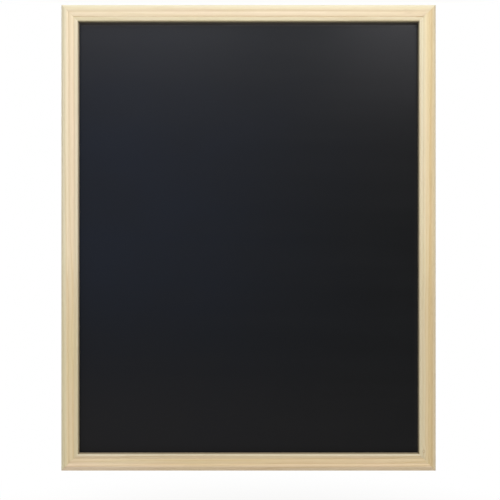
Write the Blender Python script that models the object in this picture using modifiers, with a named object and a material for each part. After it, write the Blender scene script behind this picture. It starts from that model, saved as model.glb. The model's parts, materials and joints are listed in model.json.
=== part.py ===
"""Wall chalkboard: a mitred pine frame round a black writing panel, hung by two rings on its back.

Metres, +Z up. The board faces -Y, its back lies in the plane Y = 0 against the wall, and the
origin is the middle of the top rail's back face.
"""

import math

import bmesh
import bpy
from mathutils import Matrix, Vector

# Driving dimensions of the whole board
BOARD_WIDTH = 0.402
BOARD_HEIGHT = 0.500

# Moulding section: across the face from the outer edge, and forward from the back
MOULDING_WIDTH = 0.0185
LIP_DEPTH = 0.0080  # wood in front of the panel
REBATE_WIDTH = 0.0060  # ledge that laps over the panel's edge
BACK_CHAMFER = 0.0005
OUTER_ROUND = 0.0056  # round-over along the outer front edge
OUTER_REED = 0.0072  # width of the reed along the outer edge
OUTER_FALL = 0.0003  # from the crest of the outer reed down to the valley beside it
REED_RISE = 0.00025  # from that valley up to the crest of the middle reed
SIGHT_BEAD = 0.0044  # width of the bead along the sight edge
SIGHT_ROUND = 0.0023  # round-over of the bead into the sight edge
BEAD_RISE = 0.00018  # from the bead's outer edge up to its crest
BEAD_DROP = 0.00015  # from the crest of the middle reed down to the crest of the bead
QUIRK_WIDTH = 0.0003  # fine groove between the middle reed and the bead
QUIRK_DEPTH = 0.0006  # below the crest of the middle reed

# Clearances
SEAT_GAP = 0.0003  # between pieces that rest on or in each other
MITRE_GAP = 0.0003  # glue line between two rails
PANEL_PLAY = 0.0006  # panel edge to rebate wall

# Panel
SHEET_THICKNESS = 0.0006
HARDBOARD_THICKNESS = 0.0030

# Panel points: flat steel blades, half in the rebate wall and half over the panel's back
POINT_LENGTH = 0.0150
POINT_WIDTH = 0.0065
POINT_TIP = 0.0035  # length of the taper
POINT_BITE = 0.0060  # length driven into the wood
POINT_THICKNESS = 0.0005
POINT_COVER = 0.0015  # from the frame's back down to the blade
POINTS_PER_RAIL = 3
POINTS_PER_STILE = 4

# V nails: bent steel strips across each mitre
V_NAIL_WING = 0.0050
V_NAIL_HEIGHT = 0.0080
V_NAIL_THICKNESS = 0.0005
V_NAIL_SETBACK = 0.0003  # from the frame's back down to the nail
V_NAIL_FIRST = 0.0036  # from both outer edges in to the first nail's fold
V_NAIL_PITCH = 0.0045

# Ring hangers
WIRE_RADIUS = 0.0010
RING_WIDTH = 0.0100  # to the middle of the wire
RING_SIDE = 0.0050  # from the bar up to where the bow starts
RING_CORNER = 0.0015
STRAP_THICKNESS = 0.0008
LEAF_GAP = 0.0003  # between the strap's two leaves
TONGUE_WIDTH = 0.0064
EYE_RADIUS = 0.0045
EYE_REACH = 0.0090  # from the bar down to the screw
LOOP_WRAP = math.radians(50)  # how far the loop closes past half a turn
FOLD_RADIUS = 0.0012

# Hanger screws
SCREW_RADIUS = 0.00145
SCREW_LENGTH = 0.0110
SCREW_TIP = 0.0035
HEAD_RADIUS = 0.0028
HEAD_HEIGHT = 0.0019
HEAD_RIM = 0.0006  # straight edge of the head below its dome

# Fineness of round forms
ROUND_STEPS = 8  # straight pieces in a quarter turn
REED_STEPS = 6  # straight pieces across a reed
TURNED_STEPS = 32
WIRE_RESOLUTION = 3
SMOOTH_BELOW = math.radians(14)  # edges flatter than this are shaded smooth
MERGE_DISTANCE = 0.00001

# Finishes: colour, roughness and metallic value
FINISHES = {
    "pine": ((0.76, 0.62, 0.41), 0.50, 0.0),
    "chalk_black": ((0.016, 0.018, 0.022), 0.70, 0.0),
    "hardboard": ((0.19, 0.105, 0.055), 0.80, 0.0),
    "bright_steel": ((0.56, 0.56, 0.55), 0.35, 1.0),
    "nickel_plate": ((0.66, 0.62, 0.55), 0.25, 1.0),
    "zinc_plate": ((0.62, 0.63, 0.64), 0.30, 1.0),
}

# Derived dimensions
BACK_WIDTH = MOULDING_WIDTH - REBATE_WIDTH
POINT_DEPTH = POINT_COVER + POINT_THICKNESS
HARDBOARD_BACK = POINT_DEPTH + SEAT_GAP
HARDBOARD_FRONT = HARDBOARD_BACK + HARDBOARD_THICKNESS
SHEET_BACK = HARDBOARD_FRONT + SEAT_GAP
SHEET_FRONT = SHEET_BACK + SHEET_THICKNESS
REBATE_DEPTH = SHEET_FRONT + SEAT_GAP
MOULDING_DEPTH = REBATE_DEPTH + LIP_DEPTH
TOP_EDGE = BACK_WIDTH / 2
MID_HEIGHT = TOP_EDGE - BOARD_HEIGHT / 2
PANEL_INSET = BACK_WIDTH + PANEL_PLAY
LOOP_INNER = WIRE_RADIUS + SEAT_GAP
LOOP_RADIUS = LOOP_INNER + STRAP_THICKNESS / 2
LOOP_OUTER = LOOP_INNER + STRAP_THICKNESS
RING_PIVOT = SEAT_GAP + LOOP_OUTER
RING_REACH = RING_SIDE + RING_WIDTH / 2
UPPER_LEAF = STRAP_THICKNESS + LEAF_GAP - LOOP_RADIUS
HEAD_SEAT = UPPER_LEAF + STRAP_THICKNESS / 2 + SEAT_GAP
PAST = 0.0010  # how far a cutter runs past the face that it cuts

# The four sides in turn, each a quarter turn about Y from the one before
SIDES = ("top_rail", "right_stile", "bottom_rail", "left_stile")
CORNERS = ("top_left", "top_right", "bottom_right", "bottom_left")
QUARTER = math.pi / 2


def clear_scene():
    """Remove every object that the file opened with."""
    for obj in list(bpy.data.objects):
        bpy.data.objects.remove(obj)


def new_collection(name):
    """A collection linked to the scene."""
    collection = bpy.data.collections.new(name)
    bpy.context.scene.collection.children.link(collection)
    return collection


def finish(name):
    """A Principled material from the table of finishes."""
    colour, roughness, metallic = FINISHES[name]
    material = bpy.data.materials.new(name)
    material.use_nodes = True
    shader = material.node_tree.nodes["Principled BSDF"]
    shader.inputs["Base Color"].default_value = (*colour, 1.0)
    shader.inputs["Roughness"].default_value = roughness
    shader.inputs["Metallic"].default_value = metallic
    return material


def add_object(name, data, collection, material=None, parent=None):
    """An object in a collection, with its finish and the object that carries it."""
    obj = bpy.data.objects.new(name, data)
    collection.objects.link(obj)
    obj.parent = parent
    if material:
        data.materials.append(material)
    return obj


def mesh_from(bm, name):
    """Close a bmesh off as a mesh with its faces pointing out."""
    bmesh.ops.recalc_face_normals(bm, faces=bm.faces)
    mesh = bpy.data.meshes.new(name)
    bm.to_mesh(mesh)
    bm.free()
    return mesh


def arc(centre, radius, start, end, steps):
    """Points along an arc, both ends included, with angles in radians."""
    points = []
    for step in range(steps + 1):
        angle = start + (end - start) * step / steps
        points.append((centre[0] + radius * math.cos(angle), centre[1] + radius * math.sin(angle)))
    return points


def arc_steps(turn):
    """How many straight pieces an arc of this turn gets."""
    return max(2, round(ROUND_STEPS * abs(turn) / QUARTER))


def moved_verts(result):
    """The new vertices of an extrude."""
    return [item for item in result["geom"] if isinstance(item, bmesh.types.BMVert)]


def prism(name, outline, sweep):
    """A closed outline drawn out along one vector."""
    bm = bmesh.new()
    face = bm.faces.new([bm.verts.new(point) for point in outline])
    drawn = bmesh.ops.extrude_face_region(bm, geom=[face])
    bmesh.ops.translate(bm, vec=sweep, verts=moved_verts(drawn))
    return mesh_from(bm, name)


def strip(name, path, sweep):
    """An open path drawn out along one vector, as a sheet with no thickness."""
    bm = bmesh.new()
    verts = [bm.verts.new(point) for point in path]
    edges = [bm.edges.new(pair) for pair in zip(verts, verts[1:])]
    drawn = bmesh.ops.extrude_edge_only(bm, edges=edges)
    bmesh.ops.translate(bm, vec=sweep, verts=moved_verts(drawn))
    return mesh_from(bm, name)


def thicken(obj, thickness):
    """Give a sheet its thickness, half to each side."""
    solidify = obj.modifiers.new("thickness", "SOLIDIFY")
    solidify.thickness = thickness
    solidify.offset = 0.0
    solidify.use_even_offset = True


def cut(obj, cutter, operation="DIFFERENCE"):
    """Cut an object by a cutter."""
    boolean = obj.modifiers.new(cutter.name, "BOOLEAN")
    boolean.operation = operation
    boolean.solver = "EXACT"
    boolean.object = cutter


def as_cutter(obj):
    """Keep a cutter out of renders and show it as wire."""
    obj.hide_render = True
    obj.display_type = "WIRE"
    return obj


def low_arc(crest, start, end, rise):
    """Flat arc across the face from start to end, falling by the rise on the longer side of its crest."""
    reach = max(crest[0] - start, end - crest[0])
    radius = (reach * reach + rise * rise) / (2 * rise)
    start_angle = QUARTER + math.asin((crest[0] - start) / radius)
    end_angle = QUARTER - math.asin((end - crest[0]) / radius)
    return arc((crest[0], crest[1] - radius), radius, start_angle, end_angle, REED_STEPS)


def moulding_section():
    """Outline of the moulding: distance in from the outer edge, and distance forward of the back."""
    bead_start = MOULDING_WIDTH - SIGHT_BEAD
    quirk_start = bead_start - QUIRK_WIDTH
    outer_crest = (OUTER_ROUND, MOULDING_DEPTH)
    middle_crest = ((OUTER_REED + quirk_start) / 2, MOULDING_DEPTH - OUTER_FALL + REED_RISE)
    bead_crest = (MOULDING_WIDTH - SIGHT_ROUND, middle_crest[1] - BEAD_DROP)
    quirk_floor = middle_crest[1] - QUIRK_DEPTH
    round_centre = (OUTER_ROUND, MOULDING_DEPTH - OUTER_ROUND)
    sight_centre = (bead_crest[0], bead_crest[1] - SIGHT_ROUND)
    outline = [(BACK_CHAMFER, 0.0), (0.0, BACK_CHAMFER)]
    outline += arc(round_centre, OUTER_ROUND, math.pi, QUARTER, ROUND_STEPS)
    outline += low_arc(outer_crest, OUTER_ROUND, OUTER_REED, OUTER_FALL)[1:]
    outline += low_arc(middle_crest, OUTER_REED, quirk_start, REED_RISE)[1:]
    outline += [(quirk_start, quirk_floor), (bead_start, quirk_floor)]
    outline += low_arc(bead_crest, bead_start, bead_crest[0], BEAD_RISE)
    outline += arc(sight_centre, SIGHT_ROUND, QUARTER, 0.0, ROUND_STEPS)[1:]
    outline += [(MOULDING_WIDTH, REBATE_DEPTH), (BACK_WIDTH, REBATE_DEPTH), (BACK_WIDTH, 0.0)]
    return outline


def mitred_moulding(name, length):
    """A length of moulding along X, its outer edge on top, with both ends mitred."""
    setback = MITRE_GAP / 2 * math.sqrt(2)
    bm = bmesh.new()
    end = [bm.verts.new((across + setback - length / 2, -forward, -across))
           for across, forward in moulding_section()]
    drawn = bmesh.ops.extrude_face_region(bm, geom=[bm.faces.new(end)])
    for vert in moved_verts(drawn):
        vert.co.x = -vert.co.x
    return mesh_from(bm, name)


def side_length(side):
    """Outer length of a side: rails run across the board and stiles up it."""
    return BOARD_HEIGHT if side % 2 else BOARD_WIDTH


def add_frame(parts, root, pine):
    """The four mitred sides, each with its origin on the back of its outer edge."""
    centre = Vector((0.0, 0.0, MID_HEIGHT))
    sides = []
    for side, name in enumerate(SIDES):
        mesh = mitred_moulding(name, side_length(side))
        mesh.shade_smooth()
        mesh.set_sharp_from_angle(angle=SMOOTH_BELOW)
        obj = add_object(name, mesh, parts, pine, root)
        turn = Matrix.Rotation(side * QUARTER, 4, "Y")
        outward = Vector((0.0, 0.0, side_length(side + 1) / 2))
        obj.location = centre + turn @ outward
        obj.rotation_euler.y = side * QUARTER
        sides.append(obj)
    return sides


def add_panel(parts, root, chalk, hardboard):
    """The writing sheet and the hardboard behind it, both the size of the rebate less its play."""
    width = BOARD_WIDTH - 2 * PANEL_INSET
    height = BOARD_HEIGHT - 2 * PANEL_INSET
    layers = (
        ("writing_sheet", SHEET_BACK, SHEET_THICKNESS, chalk),
        ("hardboard_back", HARDBOARD_BACK, HARDBOARD_THICKNESS, hardboard),
    )
    for name, back, thickness, material in layers:
        bm = bmesh.new()
        bmesh.ops.create_cube(bm, size=1.0)
        bmesh.ops.scale(bm, vec=(width, thickness, height), verts=bm.verts)
        obj = add_object(name, mesh_from(bm, name), parts, material, root)
        obj.location = (0.0, -back - thickness / 2, MID_HEIGHT)


def vee(name, spread, thickness, near, far, collection, material, parent):
    """A strip folded to a right angle, its fold on the mitre and a wing along each side of the corner."""
    path = [(spread, -near, 0.0), (0.0, -near, 0.0), (0.0, -near, -spread)]
    mesh = strip(name, path, (0.0, near - far, 0.0))
    obj = add_object(name, mesh, collection, material, parent)
    thicken(obj, thickness)
    return obj


def add_v_nails(parts, cutters, root, sides, steel):
    """Two V nails in each corner, in pockets that cross the mitre into both sides."""
    nail_end = V_NAIL_SETBACK + V_NAIL_HEIGHT
    for corner, corner_name in enumerate(CORNERS):
        turn = Matrix.Rotation(corner * QUARTER, 4, "Y")
        edge = Vector((-side_length(corner) / 2, 0.0, side_length(corner + 1) / 2))
        for order, order_name in enumerate(("outer", "inner")):
            inset = V_NAIL_FIRST + order * V_NAIL_PITCH
            place = turn @ (edge + Vector((inset, 0.0, -inset))) + Vector((0.0, 0.0, MID_HEIGHT))
            name = f"v_nail_{corner_name}_{order_name}"
            nail = vee(name, V_NAIL_WING, V_NAIL_THICKNESS, V_NAIL_SETBACK, nail_end,
                       parts, steel, root)
            pocket = vee(name + "_pocket", V_NAIL_WING + SEAT_GAP, V_NAIL_THICKNESS + 2 * SEAT_GAP,
                         -PAST, nail_end + SEAT_GAP, cutters, None, root)
            for obj in (nail, as_cutter(pocket)):
                obj.location = place
                obj.rotation_euler.y = corner * QUARTER
            cut(sides[corner], pocket)
            cut(sides[corner - 1], pocket)


def blade(name, grow, collection, material, parent):
    """A panel point, tip outward, or with grow above zero the slot that it was driven into."""
    half = POINT_WIDTH / 2 + grow
    tip = POINT_BITE - BACK_WIDTH + grow
    shoulder = tip - POINT_TIP
    tail = POINT_BITE - BACK_WIDTH - POINT_LENGTH
    back = grow - POINT_COVER
    outline = [(0.0, back, tip), (half, back, shoulder), (half, back, tail),
               (-half, back, tail), (-half, back, shoulder)]
    mesh = prism(name, outline, (0.0, -POINT_THICKNESS - 2 * grow, 0.0))
    return add_object(name, mesh, collection, material, parent)


def point_places(side):
    """Where the panel points stand along a side, from its middle, at an even pitch."""
    count = POINTS_PER_STILE if side % 2 else POINTS_PER_RAIL
    pitch = (side_length(side) - 2 * PANEL_INSET) / count
    return [(order - (count - 1) / 2) * pitch for order in range(count)]


def add_panel_points(parts, cutters, sides, steel):
    """The blades that hold the panel in its rebate, each carried by the side that it is driven into."""
    for side, obj in enumerate(sides):
        side_name = SIDES[side].split("_")[0]
        for order, place in enumerate(point_places(side), start=1):
            name = f"panel_point_{side_name}_{order}"
            point = blade(name, 0.0, parts, steel, obj)
            slot = as_cutter(blade(name + "_slot", SEAT_GAP, cutters, None, obj))
            point.location.x = place
            slot.location.x = place
            cut(obj, slot)


def strap_path():
    """Middle line of the folded strap, outward and upward from the ring's bar."""
    foot = -(EYE_REACH + EYE_RADIUS + PAST)
    loop_end = math.pi + LOOP_WRAP
    path = [(-LOOP_RADIUS, foot)]
    path += arc((0.0, 0.0), LOOP_RADIUS, math.pi, math.pi - loop_end, arc_steps(loop_end))
    leave = Vector(path[-1])
    drop = FOLD_RADIUS * (1.0 - math.cos(LOOP_WRAP))
    run = (leave.x - UPPER_LEAF - drop) / math.sin(LOOP_WRAP)
    meet = leave - run * Vector((math.sin(LOOP_WRAP), math.cos(LOOP_WRAP)))
    fold_centre = (UPPER_LEAF + FOLD_RADIUS, meet.y - FOLD_RADIUS * math.sin(LOOP_WRAP))
    path += arc(fold_centre, FOLD_RADIUS, math.pi - LOOP_WRAP, math.pi, arc_steps(LOOP_WRAP))
    path += [(UPPER_LEAF, foot)]
    return path


def strap_outline():
    """Face of the strap: a straight tongue over the bar and a round eye about the screw."""
    half = TONGUE_WIDTH / 2
    shoulder = math.acos(half / EYE_RADIUS)
    top = LOOP_OUTER + PAST
    eye = arc((0.0, -EYE_REACH), EYE_RADIUS, math.pi - shoulder, 2 * math.pi + shoulder,
              arc_steps(math.pi + 2 * shoulder))
    return [(half, top), (-half, top), *eye]


def add_strap(name, parts, cutters, hanger, plate):
    """The folded strap, trimmed to its outline and holed for the screw."""
    path = [(-EYE_RADIUS - PAST, out, up) for out, up in strap_path()]
    mesh = strip(name, path, (2 * (EYE_RADIUS + PAST), 0.0, 0.0))
    strap = add_object(name, mesh, parts, plate, hanger)
    thicken(strap, STRAP_THICKNESS)
    trim_outline = [(across, -RING_PIVOT - PAST, up) for across, up in strap_outline()]
    trim_mesh = prism(name + "_trim", trim_outline, (0.0, RING_PIVOT + LOOP_OUTER + 2 * PAST, 0.0))
    trim = as_cutter(add_object(name + "_trim", trim_mesh, cutters, None, hanger))
    cut(strap, trim, "INTERSECT")
    return strap


def add_ring(name, parts, hanger, plate):
    """The D ring, drawn about its bar and leaning back to the frame above it."""
    half = RING_WIDTH / 2
    inside = half - RING_CORNER
    path = arc((inside, RING_CORNER), RING_CORNER, -QUARTER, 0.0, ROUND_STEPS)
    path += arc((0.0, RING_SIDE), half, 0.0, math.pi, 2 * ROUND_STEPS)
    path += arc((-inside, RING_CORNER), RING_CORNER, math.pi, 3 * QUARTER, ROUND_STEPS)
    curve = bpy.data.curves.new(name, "CURVE")
    curve.dimensions = "3D"
    curve.bevel_depth = WIRE_RADIUS
    curve.bevel_resolution = WIRE_RESOLUTION
    spline = curve.splines.new("POLY")
    spline.points.add(len(path) - 1)
    for point, (across, up) in zip(spline.points, path):
        point.co = (across, 0.0, up, 1.0)
    spline.use_cyclic_u = True
    spline.use_smooth = True
    ring = add_object(name, curve, parts, plate, hanger)
    ring.rotation_euler.x = math.asin((RING_PIVOT - WIRE_RADIUS - SEAT_GAP) / RING_REACH)
    return ring


def turned(name, profile, collection, material, parent):
    """A profile of radius and height, from the top down its outer side, turned about Z."""
    bm = bmesh.new()
    verts = [bm.verts.new((radius, 0.0, height)) for radius, height in profile]
    for pair in zip(verts, verts[1:]):
        bm.edges.new(pair)
    mesh = bpy.data.meshes.new(name)
    bm.to_mesh(mesh)
    bm.free()
    obj = add_object(name, mesh, collection, material, parent)
    screw = obj.modifiers.new("turn", "SCREW")
    screw.steps = TURNED_STEPS
    screw.render_steps = TURNED_STEPS
    screw.use_merge_vertices = True
    screw.merge_threshold = MERGE_DISTANCE
    return obj


def screw_profile(grow):
    """Half section of the screw below its head, or with grow above zero of the hole that it fills."""
    shank = SCREW_RADIUS + grow
    return [(shank, SCREW_TIP - SCREW_LENGTH), (0.0, -SCREW_LENGTH - grow)]


def head_dome():
    """Half section of the pan head from the middle of its crown out to its rim."""
    crown = HEAD_HEIGHT - HEAD_RIM
    points = []
    for step in range(ROUND_STEPS + 1):
        angle = QUARTER * (1 - step / ROUND_STEPS)
        points.append((HEAD_RADIUS * math.cos(angle), HEAD_RIM + crown * math.sin(angle)))
    return points


def add_screw(name, parts, cutters, hanger, strap, stile, zinc):
    """The screw through the strap's eye, with its hole in the strap and the stile."""
    head = head_dome() + [(HEAD_RADIUS, 0.0), (SCREW_RADIUS, 0.0)]
    screw = turned(name, head + screw_profile(0.0), parts, zinc, hanger)
    mouth = [(0.0, PAST), (SCREW_RADIUS + SEAT_GAP, PAST)]
    hole = as_cutter(turned(name + "_hole", mouth + screw_profile(SEAT_GAP), cutters, None, hanger))
    for obj in (screw, hole):
        obj.location = (0.0, HEAD_SEAT, -EYE_REACH)
        obj.rotation_euler.x = -QUARTER
    cut(strap, hole)
    cut(stile, hole)


def add_hangers(parts, cutters, root, sides, plate, zinc):
    """A ring hanger on the middle of each stile's back, between its two upper panel points."""
    heights = sorted(point_places(SIDES.index("right_stile")), reverse=True)
    midway = (heights[0] + heights[1]) / 2
    height = MID_HEIGHT + midway + EYE_REACH / 2
    offset = BOARD_WIDTH / 2 - BACK_WIDTH / 2
    for name, across, stile in (("left", -offset, sides[3]), ("right", offset, sides[1])):
        hanger = add_object(f"hanger_{name}", None, parts, None, root)
        hanger.location = (across, RING_PIVOT, height)
        strap = add_strap(f"hanger_strap_{name}", parts, cutters, hanger, plate)
        add_ring(f"hanger_ring_{name}", parts, hanger, plate)
        add_screw(f"hanger_screw_{name}", parts, cutters, hanger, strap, stile, zinc)


def keep_flats_flat(sides):
    """Shade the wide flats of the cut sides by their own normals, so that pockets cast no false shading."""
    for obj in sides:
        obj.modifiers.new("even_shading", "WEIGHTED_NORMAL").keep_sharp = True


def main():
    """Build the chalkboard."""
    clear_scene()
    parts = new_collection("wall_chalkboard")
    cutters = new_collection("cutters")
    cutters.hide_render = True
    root = add_object("board", None, parts)
    sides = add_frame(parts, root, finish("pine"))
    add_panel(parts, root, finish("chalk_black"), finish("hardboard"))
    steel = finish("bright_steel")
    add_v_nails(parts, cutters, root, sides, steel)
    add_panel_points(parts, cutters, sides, steel)
    add_hangers(parts, cutters, root, sides, finish("nickel_plate"), finish("zinc_plate"))
    keep_flats_flat(sides)


if __name__ == "__main__":
    main()
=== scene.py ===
"""Looks of a wall chalkboard: reeded pine mouldings, a matt black writing sheet, a hardboard back and plated
hanging fittings. The file is laid out as an add-on and run as a script.

Lengths are in metres, +Z is up and the board faces -Y. Finishes work out their patterns in millimetres.
"""

import json
import math
from typing import NamedTuple

import bmesh
import bpy
from bpy.props import FloatProperty, FloatVectorProperty, PointerProperty
from mathutils import Matrix, Vector


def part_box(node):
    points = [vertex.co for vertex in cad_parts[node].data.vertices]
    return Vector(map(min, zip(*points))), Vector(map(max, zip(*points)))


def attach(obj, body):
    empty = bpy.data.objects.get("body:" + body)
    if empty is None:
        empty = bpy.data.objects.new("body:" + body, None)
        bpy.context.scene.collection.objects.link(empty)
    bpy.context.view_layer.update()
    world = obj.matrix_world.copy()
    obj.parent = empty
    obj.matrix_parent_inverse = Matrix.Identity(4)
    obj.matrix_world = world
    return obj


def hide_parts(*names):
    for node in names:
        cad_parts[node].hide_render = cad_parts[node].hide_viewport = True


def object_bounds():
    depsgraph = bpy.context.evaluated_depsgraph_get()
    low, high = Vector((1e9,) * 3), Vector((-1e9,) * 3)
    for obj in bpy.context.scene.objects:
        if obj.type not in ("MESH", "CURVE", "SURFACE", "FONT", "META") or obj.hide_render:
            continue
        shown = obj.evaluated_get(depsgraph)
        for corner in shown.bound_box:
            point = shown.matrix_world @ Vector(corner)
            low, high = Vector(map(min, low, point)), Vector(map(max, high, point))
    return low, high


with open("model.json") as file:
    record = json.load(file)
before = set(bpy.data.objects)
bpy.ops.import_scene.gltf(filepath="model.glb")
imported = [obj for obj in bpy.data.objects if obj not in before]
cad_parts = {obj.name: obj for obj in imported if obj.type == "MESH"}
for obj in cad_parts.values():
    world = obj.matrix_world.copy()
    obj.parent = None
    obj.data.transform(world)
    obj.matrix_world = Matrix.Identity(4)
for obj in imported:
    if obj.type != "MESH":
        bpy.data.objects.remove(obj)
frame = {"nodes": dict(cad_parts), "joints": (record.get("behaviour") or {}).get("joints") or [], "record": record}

bl_info = {
    "name": "Wall Chalkboard",
    "version": (1, 0, 0),
    "blender": (4, 5, 0),
    "location": "View3D > Sidebar > Chalkboard",
    "description": "Dresses the solids of a wall chalkboard in pine, black slate, hardboard and steel",
    "category": "Object",
}

# The packed board
CAD_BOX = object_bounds()
LOW, HIGH = CAD_BOX
CENTRE = Vector(((LOW.x + HIGH.x) / 2, 0.0, (LOW.z + HIGH.z) / 2))
HALF_WIDTH = (HIGH.x - LOW.x) / 2
HALF_HEIGHT = (HIGH.z - LOW.z) / 2
RAIL_LOW, RAIL_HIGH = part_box("top_rail")
MOULDING_WIDTH = RAIL_HIGH.z - RAIL_LOW.z
MOULDING_DEPTH = RAIL_HIGH.y - RAIL_LOW.y
SHEET_FRONT = -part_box("writing_sheet")[0].y
BODY_OF = {node: body for body, nodes in frame["record"]["behaviour"]["bodies"].items() for node in nodes}
PIVOTS = {joint["child"]: Vector(joint["pos_m"]) for joint in frame["joints"]}
SIDES = ("top_rail", "right_stile", "bottom_rail", "left_stile")

TURN = 2 * math.pi
QUARTER = TURN / 4
MILLIMETRES = 1000.0
MERGE = 1e-6
OVERLAP = 0.0001
CUT_CLEARANCE = 0.001
SAME_PLANE = math.radians(0.5)
CUT_EDGE = math.radians(40)
MOULDED_CORNER = math.radians(30)
FLAT_CREASE = math.radians(14)
METAL_CREASE = math.radians(30)
SCREW_CREASE = math.radians(35)
WIRE_CREASE = math.radians(60)
NOISE_MEAN = 0.5
WHITE = (1.0, 1.0, 1.0)
X_AXIS = Vector((1.0, 0.0, 0.0))
Y_AXIS = Vector((0.0, 1.0, 0.0))
Z_AXIS = Vector((0.0, 0.0, 1.0))


def length(name, description, default):
    """A property that holds a length."""
    return FloatProperty(name=name, description=description, default=default, precision=5, unit="LENGTH")


def share(name, description, default):
    """A property that holds a share or a strength."""
    return FloatProperty(name=name, description=description, default=default, min=0.0, subtype="FACTOR")


def colour(name, description, default):
    """A property that holds a colour."""
    return FloatVectorProperty(name=name, description=description, default=default, subtype="COLOR")


def point(name, description, default):
    """A property that holds a point."""
    return FloatVectorProperty(name=name, description=description, default=default, subtype="TRANSLATION")


def power(name, description, default):
    """A property that holds a lamp's power."""
    return FloatProperty(name=name, description=description, default=default, min=0.0, unit="POWER")


class MouldingSettings(bpy.types.PropertyGroup):
    """Section of the frame's moulding"""

    rebate_width: length("Rebate width", "Ledge that laps over the edge of the panel", 0.006)
    lip_gap: length("Lip gap", "Between the writing sheet and the lip in front of it", 0.00005)
    back_chamfer: length("Back chamfer", "Flat along the outer back edge", 0.0005)
    outer_round: length("Outer round", "Round-over along the outer front edge", 0.0056)
    outer_reed: length("Outer reed", "Width of the reed along the outer edge", 0.0083)
    outer_fall: length("Outer fall", "From the crest of the outer reed to the valley beside it", 0.00045)
    reed_rise: length("Reed rise", "From that valley up to the crest of the middle reed", 0.0004)
    sight_bead: length("Sight bead", "Width of the bead along the sight edge", 0.0044)
    sight_round: length("Sight round", "Round-over of the bead into the sight edge", 0.0014)
    bead_drop: length("Bead drop", "From the crest of the middle reed to that of the bead", 0.00015)
    bead_rise: length("Bead rise", "From the bead's edge at the quirk up to its crest", 0.00018)
    quirk_width: length("Quirk width", "Fine groove between the middle reed and the bead", 0.00022)
    quirk_depth: length("Quirk depth", "Its floor below the crest of the middle reed", 0.0005)
    arris: length("Arris", "Sanding of the sharp edges", 0.0001)
    glue_line: length("Glue line", "Between the sawn faces of two mouldings", 0.00003)
    nail_slot: length("Nail slot", "Wood that a V nail pushes aside on each side", 0.00005)


class PineSettings(bpy.types.PropertyGroup):
    """Finish of the mouldings"""

    early_wood: colour("Early wood", "Pale part of a growth ring", (0.780, 0.650, 0.455))
    late_wood: colour("Late wood", "Dark part of a growth ring", (0.690, 0.540, 0.335))
    knot: colour("Knot", "Pin knots and resin", (0.330, 0.215, 0.100))
    # Colour of the painted shade and dust in the quirk, and of the glue along the mitres
    grime: colour("Grime", "Dust and glue in the quirk and along the mitres", (0.450, 0.290, 0.080))
    # Colour of the painted highlight on the crest of the bead and the outer edge
    rubbed: colour("Rubbed edge", "Wood where an edge is rubbed bare", (0.800, 0.740, 0.560))
    # Colour of the painted shade on the sight wall beside the sheet
    smear: colour("Smear", "Coating and dust on the sight wall, beside the sheet", (0.060, 0.050, 0.040))
    raw: colour("Raw wood", "Back of the mouldings, which has no lacquer", (0.640, 0.535, 0.395))
    ring_pitch: length("Ring pitch", "From one growth ring to the next", 0.0021)
    knife_pitch: length("Knife pitch", "Between the marks of the planer's knives on the back", 0.0024)
    fibre_depth: length("Fibre depth", "Height of the grain under the lacquer", 0.00003)
    roughness: share("Roughness", "Roughness of the thin satin lacquer", 0.46)


class PanelSettings(bpy.types.PropertyGroup):
    """Finish of the writing sheet and of the hardboard behind it"""

    slate: colour("Slate", "Writing sheet", (0.0018, 0.0021, 0.0025))
    # Colour of the painted reflection of blue light in the left half of the sheet
    cool_slate: colour("Cool slate", "Bluer patch in the left half of the sheet", (0.0072, 0.0097, 0.0165))
    wiped: colour("Wiped slate", "Where a cloth has left a trace of dust", (0.0068, 0.0074, 0.0088))
    dust: colour("Chalk dust", "Settled along the lower edge of the sheet", (0.0110, 0.0095, 0.0085))
    # Colour of the painted light that fills the shadow along the upper edge
    missed: colour("Missed dust", "Along the upper edge, past the cloth's reach", (0.080, 0.076, 0.077))
    slate_roughness: share("Slate roughness", "Roughness of the writing sheet", 0.31)
    tooth: length("Tooth", "Height of the grain that takes the chalk", 0.00002)
    hardboard: colour("Hardboard", "Pressed fibre of the back", (0.200, 0.112, 0.060))
    dark_fibre: colour("Dark fibre", "Scorched fibres in the hardboard", (0.105, 0.055, 0.028))
    pale_fibre: colour("Pale fibre", "Straw fibres in the hardboard", (0.330, 0.205, 0.115))
    screen_pitch: length("Screen pitch", "Mesh printed in the rough side of the hardboard", 0.0016)
    screen_depth: length("Screen depth", "Depth of that print", 0.00012)
    sheet_ease: length("Sheet ease", "Rounding of the writing sheet's cut edges", 0.0001)
    back_ease: length("Back ease", "Rounding of the hardboard's sawn edges", 0.0004)


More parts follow.
